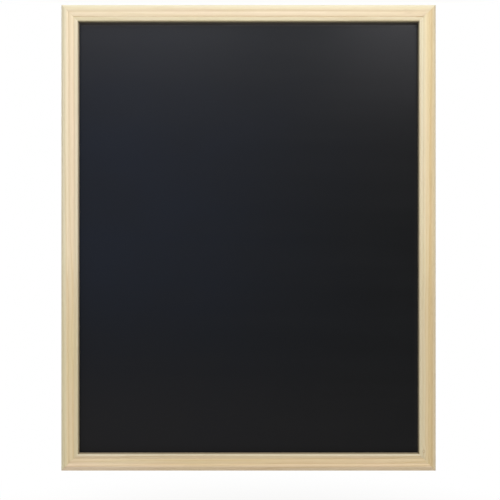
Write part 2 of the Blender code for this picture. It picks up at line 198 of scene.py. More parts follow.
class FittingSettings(bpy.types.PropertyGroup):
    """Nails, points and hangers"""

    steel: colour("Steel", "Panel points and V nails", (0.560, 0.560, 0.550))
    nickel: colour("Nickel", "Straps and rings", (0.660, 0.620, 0.550))
    zinc: colour("Zinc", "Screws", (0.620, 0.630, 0.640))
    burr: length("Burr", "Rounding of punched edges", 0.00008)
    wire_radius: length("Wire radius", "Wire of the rings", 0.001)
    ring_width: length("Ring width", "To the middle of the wire", 0.010)
    ring_side: length("Ring side", "From the bar up to where the bow starts", 0.005)
    ring_corner: length("Ring corner", "Bend at each end of the bar", 0.0015)
    ring_clearance: length("Ring clearance", "From the resting bow to the back of the frame", 0.0003)
    head_height: length("Head height", "From the strap up to the crown of a screw", 0.0019)
    head_rim: length("Head rim", "Straight edge of a screw's head", 0.0009)
    head_shoulder: length("Head shoulder", "Round between a head's rim and its crown", 0.0007)
    head_ease: length("Head ease", "Rounding of a head's lower edge", 0.0002)
    core_radius: length("Core radius", "Screw without its thread", 0.00105)
    tip_length: length("Tip length", "Tapered end of a screw", 0.0035)
    thread_radius: length("Thread radius", "Crest of the thread", 0.00145)
    thread_pitch: length("Thread pitch", "From one turn to the next", 0.0013)
    thread_foot: length("Thread foot", "Width of the thread at the core", 0.0007)
    drive_length: length("Drive length", "Across the cross recess", 0.0030)
    drive_width: length("Drive width", "Width of one slot of the cross recess", 0.0007)
    drive_depth: length("Drive depth", "From the crown down to the recess's floor", 0.0012)
    drive_taper: share("Drive taper", "Size of the recess's floor against its mouth", 0.6)


class StageSettings(bpy.types.PropertyGroup):
    """Floor, light and camera"""

    floor: colour("Floor", "Pale floor below the board", (0.80, 0.80, 0.79))
    floor_drop: length("Floor drop", "From the board's lower edge down to the floor", 0.25)
    floor_radius: length("Floor radius", "Of the round floor", 4.0)
    floor_near: length("Floor near", "Where the floor starts to fade to white, from its middle", 0.45)
    floor_far: length("Floor far", "Where the floor is plain white", 0.90)
    floor_glow: share("Floor glow", "Share of white in the floor below the board", 0.62)
    camera_distance: length("Camera distance", "From the lens to the wall", 0.85)
    camera_shift: length("Camera side step", "Of the lens from the board's middle to the right", 0.00156)
    camera_drop: length("Camera drop", "Of the lens below the board's middle", 0.0131)
    frame_height: length("Frame height", "What the picture takes in at the face of the mouldings", 0.5338)
    key_place: point("Key place", "Of the key lamp, from the board's middle", (0.10, -0.75, 0.894))
    key_size: length("Key size", "Width and height of the key lamp and of the lamp behind the board", 0.80)
    key_power: power("Key power", "Of the key lamp", 5.8)
    key_light: colour("Key light", "Cool daylight from above", (0.82, 0.94, 1.0))
    strip_width: length("Strip width", "Of the two strip lamps", 0.74)
    strip_height: length("Strip height", "Of the two strip lamps", 0.15)
    strip_light: colour("Strip light", "Of the two strip lamps", (0.97, 0.94, 1.0))
    left_place: point("Left place", "Of the left strip lamp, seen in the slate", (-0.34, -1.30, 0.674))
    left_power: power("Left power", "Of the left strip lamp", 3.95)
    right_place: point("Right place", "Of the right strip lamp, seen in the slate", (0.61, -1.30, 0.674))
    right_power: power("Right power", "Of the right strip lamp", 6.95)
    back_place: point("Back place", "Of the lamp behind the board", (-0.58, 1.03, 0.54))
    back_power: power("Back power", "Of the lamp behind the board", 9.0)
    sky: colour("Sky", "Even light from above", (0.465, 0.446, 0.405))
    ground: colour("Ground", "Even light from below", (0.155, 0.135, 0.108))
    horizon: share("Horizon", "Half height of the band where the two meet", 0.6)


SETTINGS = {
    "chalkboard_moulding": MouldingSettings,
    "chalkboard_pine": PineSettings,
    "chalkboard_panel": PanelSettings,
    "chalkboard_fittings": FittingSettings,
    "chalkboard_stage": StageSettings,
}


class Socket:
    """An output of a node. Arithmetic on it adds Math nodes, so it is for numbers; colours use a mix."""

    def __init__(self, finish, output):
        self.finish = finish
        self.output = output

    def maths(self, operation, *operands):
        """Result of a Math node on these operands."""
        return self.finish.add("ShaderNodeMath", {"operation": operation}, dict(enumerate(operands)))

    def __add__(self, other):
        return self.maths("ADD", self, other)

    def __radd__(self, other):
        return self.maths("ADD", other, self)

    def __sub__(self, other):
        return self.maths("SUBTRACT", self, other)

    def __rsub__(self, other):
        return self.maths("SUBTRACT", other, self)

    def __mul__(self, other):
        return self.maths("MULTIPLY", self, other)

    def __rmul__(self, other):
        return self.maths("MULTIPLY", other, self)

    def __truediv__(self, other):
        return self.maths("DIVIDE", self, other)

    def __rtruediv__(self, other):
        return self.maths("DIVIDE", other, self)

    def __pow__(self, other):
        return self.maths("POWER", self, other)

    def __neg__(self):
        return self.maths("MULTIPLY", self, -1.0)

    def __abs__(self):
        return self.maths("ABSOLUTE", self)

    def __mod__(self, other):
        return self.maths("FLOORED_MODULO", self, other)

    def larger(self, other):
        """The larger of two values."""
        return self.maths("MAXIMUM", self, other)

    def sine(self):
        """Sine of an angle in radians."""
        return self.maths("SINE", self)


class Finish:
    """A node tree that is being filled."""

    def __init__(self, tree):
        self.tree = tree
        tree.nodes.clear()

    def add(self, kind, settings=(), sockets=(), output=0):
        """Add a node: first its settings, then values or links for its sockets. Gives one of its outputs."""
        node = self.tree.nodes.new(kind)
        for name, value in dict(settings).items():
            if name == "stops":
                set_stops(node.color_ramp, value)
            else:
                setattr(node, name, value)
        for name, value in dict(sockets).items():
            self.feed(node.inputs[name], value)
        return Socket(self, node.outputs[output]) if node.outputs else None

    def feed(self, entry, value):
        """Link an output to a node's input, or write a plain value there."""
        if isinstance(value, Socket):
            self.tree.links.new(value.output, entry)
        elif entry.type == "RGBA":
            entry.default_value = (*value, 1.0)
        else:
            entry.default_value = value

    def noise(self, place, grain, seed=0.0, detail=2.0):
        """Noise from 0 to 1, its lumps as long as grain says along each axis."""
        stretched = self.add("ShaderNodeVectorMath", {"operation": "DIVIDE"}, {0: place, 1: grain})
        sockets = {"Vector": stretched, "W": seed, "Scale": 1.0, "Detail": detail}
        return self.add("ShaderNodeTexNoise", {"noise_dimensions": "4D"}, sockets, "Fac")

    def fade(self, value, start, end):
        """Smooth step from 0 at start to 1 at end."""
        sockets = {"Value": value, "From Min": start, "From Max": end}
        return self.add("ShaderNodeMapRange", {"interpolation_type": "SMOOTHSTEP"}, sockets)

    def ramp(self, value, *stops):
        """Colour between these stops."""
        return self.add("ShaderNodeValToRGB", {"stops": stops}, {"Fac": value}, "Color")

    def mix(self, amount, under, over, blend="MIX"):
        """One colour laid over another."""
        settings = {"data_type": "RGBA", "blend_type": blend}
        return self.add("ShaderNodeMix", settings, {0: amount, 6: under, 7: over}, 2)

    def tint(self, amount, under, tone):
        """A colour multiplied by a tone."""
        return self.mix(amount, under, tone, "MULTIPLY")

    def bump(self, height, depth, strength):
        """Normal of a surface whose relief is depth high."""
        sockets = {"Height": height, "Distance": depth, "Strength": strength}
        return self.add("ShaderNodeBump", {}, sockets, "Normal")

    def parts(self, vector):
        """The three numbers of a vector."""
        return [self.add("ShaderNodeSeparateXYZ", {}, {"Vector": vector}, axis) for axis in "XYZ"]


class Surface(Finish):
    """A material that is being made."""

    def __init__(self, name):
        self.material = bpy.data.materials.new(name)
        self.material.use_nodes = True
        super().__init__(self.material.node_tree)

    def place(self, origin):
        """Where a point of the surface lies from this origin, in millimetres."""
        away = origin.inverted()
        sockets = {
            "Vector": self.add("ShaderNodeTexCoord", output="Object"),
            "Location": away.translation * MILLIMETRES,
            "Rotation": away.to_euler(),
            "Scale": (MILLIMETRES, MILLIMETRES, MILLIMETRES),
        }
        return self.add("ShaderNodeMapping", {"vector_type": "POINT"}, sockets)

    def principled(self, sockets):
        """Close the material with a Principled shader."""
        shader = self.add("ShaderNodeBsdfPrincipled", {}, sockets, "BSDF")
        self.add("ShaderNodeOutputMaterial", {}, {"Surface": shader})
        return self.material


def set_stops(ramp, stops):
    """Give a colour ramp these stops, each a position and a colour."""
    for index, (position, stop_colour) in enumerate(stops):
        if index < len(ramp.elements):
            stop = ramp.elements[index]
            stop.position = position
        else:
            stop = ramp.elements.new(position)
        stop.color = (*stop_colour, 1.0)


def diagonal(across, up):
    """Length of the diagonal between two offsets at a right angle."""
    return (across ** 2.0 + up ** 2.0) ** 0.5


def shaded(base, factor):
    """A colour with each channel times a factor, or times the matching channel of another colour."""
    factors = factor if isinstance(factor, tuple) else (factor, factor, factor)
    return tuple(channel * each for channel, each in zip(base, factors))


class Pen:
    """Draws an outline on a plane, one straight run or arc at a time."""

    def __init__(self, bm, plane, start):
        self.bm = bm
        self.plane = plane
        self.first = bm.verts.new(self.point(start))
        self.tip = self.first

    def point(self, spot):
        """A spot on the plane, in space."""
        return self.plane @ Vector((*spot, 0.0))

    def line(self, *spots):
        """Straight runs on to these spots."""
        for spot in spots:
            grown = bmesh.ops.extrude_vert_indiv(self.bm, verts=[self.tip])
            self.tip = grown["verts"][0]
            self.tip.co = self.point(spot)

    def arc(self, centre, angle, steps):
        """Part of a circle round a centre, counter-clockwise on the plane where the angle is positive."""
        axis = self.plane.to_3x3() @ Z_AXIS
        swept = bmesh.ops.spin(
            self.bm, geom=[self.tip], cent=self.point(centre), axis=axis, angle=angle, steps=steps
        )
        self.tip = next(item for item in swept["geom_last"] if isinstance(item, bmesh.types.BMVert))

    def low_arc(self, crest, start, end, rise, steps):
        """Flat arc from start to end, falling by the rise on the longer side of its crest."""
        reach = max(crest[0] - start, end - crest[0])
        radius = (reach * reach + rise * rise) / (2 * rise)
        angle = math.asin((crest[0] - start) / radius) + math.asin((end - crest[0]) / radius)
        self.arc((crest[0], crest[1] - radius), -angle, steps)

    def close(self):
        """Join the end to the start and fill the outline."""
        self.bm.edges.new((self.tip, self.first))
        bmesh.ops.edgenet_fill(self.bm, edges=self.bm.edges[:])


class Side:
    """One side of the frame, with its own axes: X along it, Y as in the world, Z out from its outer edge."""

    def __init__(self, turns):
        upright = turns % 2 == 1
        self.turns = turns
        self.node = SIDES[turns]
        self.reach = HALF_WIDTH if upright else HALF_HEIGHT
        self.half_length = HALF_HEIGHT if upright else HALF_WIDTH
        outward = Matrix.Translation(Z_AXIS * self.reach)
        self.origin = Matrix.Translation(CENTRE) @ Matrix.Rotation(turns * QUARTER, 4, "Y") @ outward


def plane_of(origin, right, up):
    """The plane through a point with these two directions."""
    plane = Matrix((right, up, right.cross(up))).transposed().to_4x4()
    plane.translation = origin
    return plane


def everything(bm):
    """All of a bmesh, for an operator that takes any geometry."""
    return bm.verts[:] + bm.edges[:] + bm.faces[:]


def vertices(geometry):
    """The vertices among an operator's results."""
    return [item for item in geometry if isinstance(item, bmesh.types.BMVert)]


def extrude(bm, geometry, offset):
    """Extrude faces or a loop of edges and move the new end."""
    if any(isinstance(item, bmesh.types.BMFace) for item in geometry):
        grown = bmesh.ops.extrude_face_region(bm, geom=geometry)["geom"]
    else:
        edges = [item for item in geometry if isinstance(item, bmesh.types.BMEdge)]
        drawn = bmesh.ops.extrude_edge_only(bm, edges=edges)["geom"]
        grown = [item for item in drawn if not isinstance(item, bmesh.types.BMFace)]
    bmesh.ops.translate(bm, verts=vertices(grown), vec=offset)
    return grown


def ease_edges(bm, size, sharper_than):
    """Round every edge that is sharper than an angle."""
    edges = [edge for edge in bm.edges if edge.is_manifold and edge.calc_face_angle() > sharper_than]
    bmesh.ops.bevel(
        bm, geom=edges, offset=size, offset_type="OFFSET", segments=2, profile=0.5,
        affect="EDGES", material=-1,
    )


def carved(bm, cutters):
    """Cut closed bmeshes out of another."""
    solid = helper_object(bm)
    tools = [helper_object(cutter) for cutter in cutters]
    for tool in tools:
        cut = solid.modifiers.new(tool.name, "BOOLEAN")
        cut.object = tool
    graph = bpy.context.evaluated_depsgraph_get()
    mesh = bpy.data.meshes.new_from_object(solid.evaluated_get(graph))
    result = bmesh.new()
    result.from_mesh(mesh)
    bpy.data.meshes.remove(mesh)
    for helper in [solid, *tools]:
        bpy.data.meshes.remove(helper.data)
    return result


def helper_object(bm):
    """An object that lives only as long as a cut."""
    mesh = bpy.data.meshes.new("helper")
    bm.to_mesh(mesh)
    bm.free()
    helper = bpy.data.objects.new("helper", mesh)
    bpy.context.scene.collection.objects.link(helper)
    return helper


def finished(bm, node, slot, material, crease):
    """Make a bmesh the piece that stands for a node and rides on its body."""
    bmesh.ops.recalc_face_normals(bm, faces=bm.faces[:])
    name = f"{node}_{slot}"
    mesh = bpy.data.meshes.new(name)
    bm.to_mesh(mesh)
    bm.free()
    mesh.shade_smooth()
    mesh.set_sharp_from_angle(angle=crease)
    mesh.materials.append(material)
    piece = bpy.data.objects.new(name, mesh)
    bpy.context.scene.collection.objects.link(piece)
    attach(piece, BODY_OF[node])
    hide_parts(node)
    return piece


def merged_copy(node):
    """The solid of a node as one closed mesh with flat faces in one piece."""
    bm = bmesh.new()
    bm.from_mesh(frame["nodes"][node].data)
    bmesh.ops.remove_doubles(bm, verts=bm.verts[:], dist=MERGE)
    bmesh.ops.dissolve_limit(bm, angle_limit=SAME_PLANE, verts=bm.verts[:], edges=bm.edges[:])
    return bm


def nodes_named(start):
    """The nodes whose names start in this way."""
    return [node for node in frame["nodes"] if node.startswith(start)]


def trim(start, ease, slot, material, crease):
    """Make pieces of the solids whose names start in this way, their cut edges rounded."""
    for node in nodes_named(start):
        bm = merged_copy(node)
        ease_edges(bm, ease, CUT_EDGE)
        finished(bm, node, slot, material, crease)


# Finishes


class Mark(NamedTuple):
    """Knot or line of resin in a plank, as wide as its radius says and stretched along the grain."""

    along: float
    across: float
    radius: float
    stretch: float


class ShadingBand(NamedTuple):
    """Band of painted light and shade along a whole plank: its middle, its reach to either side and the tone that
    it gives the wood.
    """

    across: float
    reach: float
    tone: tuple


class Grain(NamedTuple):
    """Noise along the wood. Low and high are its stops: a level of the noise and the tone there."""

    size: tuple
    seed: float
    detail: float
    low: tuple
    high: tuple


class Timber(NamedTuple):
    """Plank that a side is cut from.

    Places are in millimetres, along from the side's middle, across from its outer edge and forward from its
    back. A tone is what the wood's colour is multiplied by.
    """

    # Most tones below also carry painted light and shade that differ from side to side
    near: tuple  # tone before the drift, partly the wood's and partly painted light and shade
    far: tuple  # tone after the drift, partly the wood's and partly painted light and shade
    drift: tuple  # where along the plank the tone starts and stops to change
    pith: tuple  # heart of the log, across and forward
    slope: float  # climb of the growth rings along the plank
    outer: tuple = WHITE  # tone of the outer reed, partly the wood's and partly painted light and shade
    bead: tuple = (0.925, 0.945, 0.985)  # tone of the bead, partly the wood's and partly a painted sheen
    figure: float = 0.8  # contrast of the growth rings
    worn: float = 0.15  # painted highlight along the outer edge
    smear: float = 0.2  # painted shade on the sight wall, beside the sheet
    crest: float = 0.4  # painted highlight along the crest of the bead
    grime: float = 0.0  # painted shade and dust in the quirk by the mitres
    knots: tuple = ()
    # bands of painted light and shade along the plank
    stripes: tuple = ()
    streaks: tuple = ()


STREAKS = Grain(
    size=(190.0, 2.6, 2.6), seed=1.0, detail=2.0,
    low=(0.30, (0.965, 0.940, 0.900)), high=(0.70, WHITE),
)
CLOUDS = Grain(
    size=(60.0, 9.0, 9.0), seed=2.0, detail=2.0,
    low=(0.32, (1.0, 0.985, 0.985)), high=(0.68, (0.985, 1.0, 0.960)),
)
FIBRES = Grain(
    size=(16.0, 0.20, 0.20), seed=3.0, detail=3.0,
    low=(0.30, (0.945, 0.925, 0.890)), high=(0.60, WHITE),
)
# Each side's tones are partly the wood's own and partly painted light and shade, which differ from side to side
TIMBERS = {
    "top_rail": Timber(
        near=(1.01, 1.02, 1.09), far=(0.965, 0.96, 0.98), drift=(-170.0, -20.0),
        pith=(26.0, -34.0), slope=0.006, outer=(0.99, 1.03, 1.02), bead=(0.895, 0.945, 0.915),
        figure=0.45, worn=0.65, smear=0.75, crest=0.2, grime=0.42,
        streaks=(Mark(171.0, 10.0, radius=0.9, stretch=7.8), Mark(190.0, 12.5, radius=0.9, stretch=7.8)),
    ),
    "right_stile": Timber(
        near=(0.965, 0.965, 0.905), far=(0.87, 0.86, 0.785), drift=(-20.0, 95.0),
        pith=(-24.0, -30.0), slope=-0.004, outer=(0.905, 0.885, 0.86), bead=(0.955, 1.01, 1.11),
        worn=0.3, smear=0.45, crest=0.2,
        knots=(Mark(228.2, 14.0, radius=1.1, stretch=1.3),),
        stripes=(ShadingBand(6.9, 3.4, (0.93, 0.885, 0.79)), ShadingBand(13.2, 1.7, (0.99, 1.04, 1.12))),
        streaks=(Mark(-58.0, 6.0, radius=0.9, stretch=20.8),),
    ),
    "bottom_rail": Timber(
        near=(0.91, 0.87, 0.79), far=(0.965, 0.945, 0.915), drift=(60.0, 160.0),
        pith=(30.0, -26.0), slope=-0.007, outer=(0.99, 0.98, 1.05), bead=(0.885, 0.9, 0.945),
        worn=0.05, smear=0.25, crest=0.9,
        stripes=(ShadingBand(4.3, 1.7, (0.88, 0.89, 0.91)), ShadingBand(8.1, 2.4, (1.07, 1.07, 1.12))),
    ),
    "left_stile": Timber(
        near=(0.92, 0.92, 0.865), far=(1.03, 1.035, 1.07), drift=(-110.0, 10.0),
        pith=(-16.0, -42.0), slope=0.005, outer=(0.97, 1.045, 1.10),
        worn=0.2, smear=0.0, crest=0.5,
    ),
}


class Plank(Surface):
    """Pine of one side of the frame. Pairs say where a fade starts and ends, in millimetres."""

    seed_step = 11.3  # from the noises of one side to those of the next
    wander_size = (120.0, 14.0, 14.0)  # bends of the rings, the stripes and the knife marks
    wander_detail = 3.0
    ring_wander = 3.2
    ring_early = 0.45  # share of a ring that is plain early wood
    ring_middle = 0.70
    ring_late = 0.92  # where a ring is darkest
    middle_wood = 0.28  # share of late wood in the middle tone
    knot_reach = 6.0  # how far a knot bends the rings, in its radii
    knot_bulge = 1.6
    knot_collar = 0.8  # width of a knot's dark collar, in its radii
    knot_strength = 0.35
    streak_strength = 0.3
    outer_reed = (8.0, 5.0)
    stripe_wander = 1.5
    stripe_core = 0.5
    # Painted shade and dust in the quirk, stronger by the mitres
    quirk_dust = (0.55, 0.15)
    quirk_strength = 0.08
    mitre_dust = (10.0, 6.0)
    mitre_glue = (0.35, 0.0)
    glue_strength = 0.08
    bead_turn = 0.5
    # Reach of the painted highlight along the crest of the bead and the outer edge
    crest_place = 0.3
    crest_reach = (0.8, 0.3)
    crest_depth = (1.5, 0.8)
    worn_edge = (5.5, 1.0)
    smear_depth = (2.6, 3.8)
    smear_reach = (0.4, 0.1)
    raw_depth = (0.6, 0.3)
    raw_strength = 0.26
    knife_wander = 5.0
    knife_strength = 0.12
    fibre_dulls = 0.14
    dirt_dulls = 0.3
    bare_dulls = 0.15
    raw_dulls = 0.2
    fibre_relief = 0.6
    ring_relief = 0.4
    knife_relief = 0.7
    relief_strength = 0.5
    specular = 0.35

    def __init__(self, side, wood, shape):
        super().__init__(f"pine_{side.node}")
        self.wood = wood
        self.timber = TIMBERS[side.node]
        seed = self.seed_step * side.turns
        spot = self.place(side.origin)
        self.along, back, rise = self.parts(spot)
        self.across = -rise
        self.forward = -back
        self.from_sight = MOULDING_WIDTH * MILLIMETRES - self.across
        self.from_front = MOULDING_DEPTH * MILLIMETRES - self.forward
        self.from_mitre = side.half_length * MILLIMETRES - abs(self.along) - self.across
        self.quirk = (MOULDING_WIDTH - shape.sight_bead - shape.quirk_width / 2) * MILLIMETRES
        self.wander = self.noise(spot, self.wander_size, seed, self.wander_detail) - NOISE_MEAN
        self.grains = {}
        for grain in (STREAKS, CLOUDS, FIBRES):
            self.grains[grain] = self.noise(spot, grain.size, seed + grain.seed, grain.detail)

    def distance(self, mark):
        """Distance from the middle of a mark, as if it weren't stretched."""
        return diagonal((self.along - mark.along) / mark.stretch, self.across - mark.across)

    def rings(self):
        """Place within a growth ring, from 0 to 1. The rings lie round the pith and bulge beside a knot."""
        pith_across, pith_forward = self.timber.pith
        radius = diagonal(self.across - pith_across, self.forward - pith_forward)
        radius = radius + self.along * self.timber.slope + self.wander * self.ring_wander
        for knot in self.timber.knots:
            beside = self.fade(self.distance(knot), knot.radius * self.knot_reach, 0.0)
            radius = radius + beside * self.knot_bulge
        return (radius / (self.wood.ring_pitch * MILLIMETRES)) % 1.0

    def growth(self, ring):
        """Early wood that turns into late wood within each ring."""
        early = tuple(self.wood.early_wood)
        late = tuple(self.wood.late_wood)
        middle = tuple(pale + (dark - pale) * self.middle_wood for pale, dark in zip(early, late))
        stops = ((0.0, early), (self.ring_early, early), (self.ring_middle, middle), (self.ring_late, late))
        return self.mix(self.timber.figure, middle, self.ramp(ring, *stops, (1.0, early)))

    def toned(self, base):
        """Tones of the plank's ends and of its outer reed, both partly painted light and shade, bands of painted
        light and shade, and the tones of its grain.
        """
        # Tone along the plank, partly the wood's and partly painted light and shade
        drift = self.fade(self.along, *self.timber.drift)
        base = self.tint(1.0, base, self.mix(drift, self.timber.near, self.timber.far))
        # Tone of the outer reed, partly painted light and shade
        base = self.tint(self.fade(self.across, *self.outer_reed), base, self.timber.outer)
        # Bands of painted light and shade along the plank
        for shading_band in self.timber.stripes:
            away = abs(self.across - shading_band.across + self.wander * self.stripe_wander)
            base = self.tint(self.fade(away, shading_band.reach, self.stripe_core), base, shading_band.tone)
        for grain, noise in self.grains.items():
            base = self.tint(1.0, base, self.ramp(noise, grain.low, grain.high))
        return base

    def knotted(self, base):
        """Pin knots with a pale heart, and lines of resin."""
        for knot in self.timber.knots:
            away = abs(self.distance(knot) - knot.radius)
            collar = self.fade(away, knot.radius * self.knot_collar, 0.0)
            base = self.mix(collar * self.knot_strength, base, self.wood.knot)
        for streak in self.timber.streaks:
            line = self.fade(self.distance(streak), streak.radius, 0.0)
            base = self.mix(line * self.streak_strength, base, self.wood.knot)
        return base

    def dirt(self):
        """Painted shade and dust in the quirk, most of it by the mitres, and a hairline of glue along the mitres.
        """
        groove = self.fade(abs(self.across - self.quirk), *self.quirk_dust)
        amount = self.quirk_strength + self.timber.grime * self.fade(self.from_mitre, *self.mitre_dust)
        glue = self.fade(self.from_mitre, *self.mitre_glue) * self.glue_strength
        return (groove * amount).larger(glue)

    def bead(self):
        """1 on the bead, which has a tone of its own with a painted sheen, and 0 on the reeds."""
        return self.fade(self.across, self.quirk, self.quirk + self.bead_turn)

    def bare(self):
        """Painted highlight along the crest of the bead and along the outer edge."""
        crest = self.fade(abs(self.from_sight - self.crest_place), *self.crest_reach) * self.timber.crest
        crest = crest * self.fade(self.from_front, *self.crest_depth)
        edge = self.fade(self.across, *self.worn_edge) * self.timber.worn
        return crest.larger(edge)

    def smeared(self):
        """Painted shade on the sight wall, beside the sheet."""
        deep = self.fade(self.from_front, *self.smear_depth)
        return deep * self.fade(self.from_sight, *self.smear_reach) * self.timber.smear

    def knife_marks(self):
        """Ripples across the grain that the planer's knives have left."""
        stroke = self.along * (TURN / (self.wood.knife_pitch * MILLIMETRES))
        return (stroke + self.wander * self.knife_wander).sine() * 0.5 + 0.5


def pine(side, wood, shape):
    """Pine under a thin lacquer, which stops short of the planed back."""
    plank = Plank(side, wood, shape)
    ring = plank.rings()
    fibre = plank.grains[FIBRES]
    dirt = plank.dirt()
    bare = plank.bare()
    raw = plank.fade(plank.forward, *plank.raw_depth)
    marks = plank.knife_marks()
    base = plank.knotted(plank.toned(plank.growth(ring)))
    # Painted shade and dust in the quirk, and the glue line along the mitres
    base = plank.mix(dirt, base, wood.grime)
    # Tone of the bead, partly a painted sheen
    base = plank.tint(plank.bead(), base, plank.timber.bead)
    # Painted highlight on the crest of the bead and the outer edge
    base = plank.mix(bare, base, wood.rubbed)
    # Painted shade on the sight wall
    base = plank.mix(plank.smeared(), base, wood.smear)
    base = plank.mix(raw * (plank.raw_strength + plank.knife_strength * marks), base, wood.raw)
    dull = wood.roughness + (fibre - NOISE_MEAN) * plank.fibre_dulls + dirt * plank.dirt_dulls
    dull = dull + bare * plank.bare_dulls + raw * plank.raw_dulls
    ridge = plank.fade(ring, plank.ring_early, plank.ring_late)
    relief = fibre * plank.fibre_relief + ridge * plank.ring_relief + raw * marks * plank.knife_relief
    return plank.principled({
        "Base Color": base,
        "Roughness": dull,
        "Specular IOR Level": plank.specular,
        "Normal": plank.bump(relief, wood.fibre_depth, plank.relief_strength),
    })


class Slate(Surface):
    """Coating of the writing sheet. Pairs say where a fade starts and ends, with lengths in millimetres."""

    cloud_size = (75.0, 75.0, 75.0)
    swipe_size = (240.0, 20.0, 16.0)
    tooth_size = (0.45, 0.45, 0.45)
    patch_sides = (210.0, -210.0)
    patch_sway = 90.0
    patch_height = 50.0
    patch_reach = (210.0, 40.0)
    patch_least = 0.45
    trace_levels = (0.38, 0.66)
    trace_cloud = 0.55
    trace_strength = 0.25
    dust_reach = (170.0, 15.0)
    dust_least = 0.10
    dust_cloud = 0.25
    dust_left = 0.30
    # Reach of the painted light along the upper and the right-hand edges
    missed_above = (4.0, 0.9)
    missed_beside = (5.0, 0.0)
    beside_strength = 0.12
    speck_levels = (0.60, 0.78)
    speck_strength = 0.5
    speck_light = 1.6
    swipe_dulls = 0.08
    tooth_dulls = 0.10
    relief_strength = 0.6
    specular = 0.11

    def __init__(self):
        super().__init__("chalk_black")
        spot = self.place(Matrix.Translation(CENTRE))
        self.width, _, self.height = self.parts(spot)
        self.cloud = self.noise(spot, self.cloud_size, seed=2.0, detail=3.0)
        self.swipe = self.noise(spot, self.swipe_size, seed=5.0, detail=3.0)
        self.tooth = self.noise(spot, self.tooth_size, seed=7.0)
        swayed = self.width + (self.cloud - NOISE_MEAN) * self.patch_sway
        self.leftward = self.fade(swayed, *self.patch_sides)

    def patch(self):
        """Painted reflection of blue light in the left half, strongest a little above the middle."""
        level = self.fade(abs(self.height - self.patch_height), *self.patch_reach)
        return self.leftward * (self.patch_least + (1.0 - self.patch_least) * level)

    def trace(self):
        """Faint swipes that the wiping cloth has left."""
        wiped = self.cloud * self.trace_cloud + self.swipe * (1.0 - self.trace_cloud)
        return self.fade(wiped, *self.trace_levels) * self.trace_strength

    def settled(self):
        """Chalk dust along the lower edge, most of it on the left."""
        amount = self.dust_least + self.dust_cloud * self.cloud + self.dust_left * self.leftward
        return self.fade(self.height + HALF_HEIGHT * MILLIMETRES, *self.dust_reach) * amount

    def missed(self):
        """Painted light that fills the shadow along the upper edge, and a little of it along the right-hand one.
        """
        from_top = (HALF_HEIGHT - MOULDING_WIDTH) * MILLIMETRES - self.height
        from_right = (HALF_WIDTH - MOULDING_WIDTH) * MILLIMETRES - self.width
        above = self.fade(from_top, *self.missed_above)
        return above.larger(self.fade(from_right, *self.missed_beside) * self.beside_strength)


def slate(panel):
    """Matt black coating with a fine tooth and a veil of chalk dust, a painted blue reflection and painted light
    along the upper edge.
    """
    sheet = Slate()
    # Painted reflection of blue light in the left half
    base = sheet.mix(sheet.patch(), panel.slate, panel.cool_slate)
    base = sheet.mix(sheet.trace(), base, panel.wiped)
    base = sheet.mix(sheet.settled(), base, panel.dust)
    # Painted light that fills the shadow along the upper edge
    base = sheet.mix(sheet.missed(), base, panel.missed)
    speck = sheet.fade(sheet.tooth, *sheet.speck_levels) * sheet.speck_strength
    base = sheet.mix(speck, base, shaded(panel.wiped, sheet.speck_light))
    dull = (sheet.swipe - NOISE_MEAN) * sheet.swipe_dulls + (sheet.tooth - NOISE_MEAN) * sheet.tooth_dulls
    return sheet.principled({
        "Base Color": base,
        "Roughness": panel.slate_roughness + dull,
        "Specular IOR Level": sheet.specular,
        "Normal": sheet.bump(sheet.tooth, panel.tooth, sheet.relief_strength),
    })


class Hardboard(Surface):
    """Pressed fibre. Pairs say between which levels of a noise a fade runs, and sizes are in millimetres."""

    pulp_size = (3.2, 3.2, 2.2)
    straw_size = (1.3, 1.3, 0.30)
    scorch_size = (90.0, 90.0, 60.0)
    pulp_dark = 0.30
    pulp_brown = 0.62
    straw_levels = (0.60, 0.74)
    straw_strength = 0.55
    scorch_levels = (0.45, 0.70)
    scorch_strength = 0.35
    print_strength = 0.28
    print_shade = 0.7
    screen_relief = 0.7
    pulp_relief = 0.3
    relief_strength = 0.7
    roughness = 0.72
    pulp_dulls = 0.25
    specular = 0.25


def hardboard(panel):
    """Pressed brown fibre with the print of a wire screen."""
    board = Hardboard("hardboard")
    spot = board.place(Matrix.Translation(CENTRE))
    width, _, height = board.parts(spot)
    wave = TURN / (panel.screen_pitch * MILLIMETRES)
    screen = ((width * wave).sine() * (height * wave).sine()) * 0.5 + 0.5
    pulp = board.noise(spot, board.pulp_size, seed=3.0, detail=4.0)
    straw = board.fade(board.noise(spot, board.straw_size, seed=4.0), *board.straw_levels)
    scorch = board.fade(board.noise(spot, board.scorch_size, seed=6.0), *board.scorch_levels)
    base = board.ramp(pulp, (board.pulp_dark, panel.dark_fibre), (board.pulp_brown, panel.hardboard))
    base = board.mix(straw * board.straw_strength, base, panel.pale_fibre)
    base = board.mix(scorch * board.scorch_strength, base, panel.dark_fibre)
    hollow = (1.0 - screen) * board.print_strength
    base = board.mix(hollow, base, shaded(panel.dark_fibre, board.print_shade))
    relief = screen * board.screen_relief + pulp * board.pulp_relief
    return board.principled({
        "Base Color": base,
        "Roughness": board.roughness + (pulp - NOISE_MEAN) * board.pulp_dulls,
        "Specular IOR Level": board.specular,
        "Normal": board.bump(relief, panel.screen_depth, board.relief_strength),
    })


class Plating(Surface):
    """Plated steel. Pairs say between which levels of a noise a fade runs, and sizes are in millimetres."""

    line_size = (6.0, 0.12, 0.12)
    patch_size = (3.5, 3.5, 3.5)
    spot_size = (0.8, 0.8, 0.8)
    patch_levels = (0.40, 0.72)
    patch_tone = (0.72, 0.68, 0.60)
    spot_levels = (0.62, 0.72)
    spot_tone = (0.45, 0.38, 0.30)
    spot_strength = 0.6
    line_dulls = 0.16
    patch_dulls = 0.14
    spot_dulls = 0.2
    line_depth = 0.000008
    relief_strength = 0.5


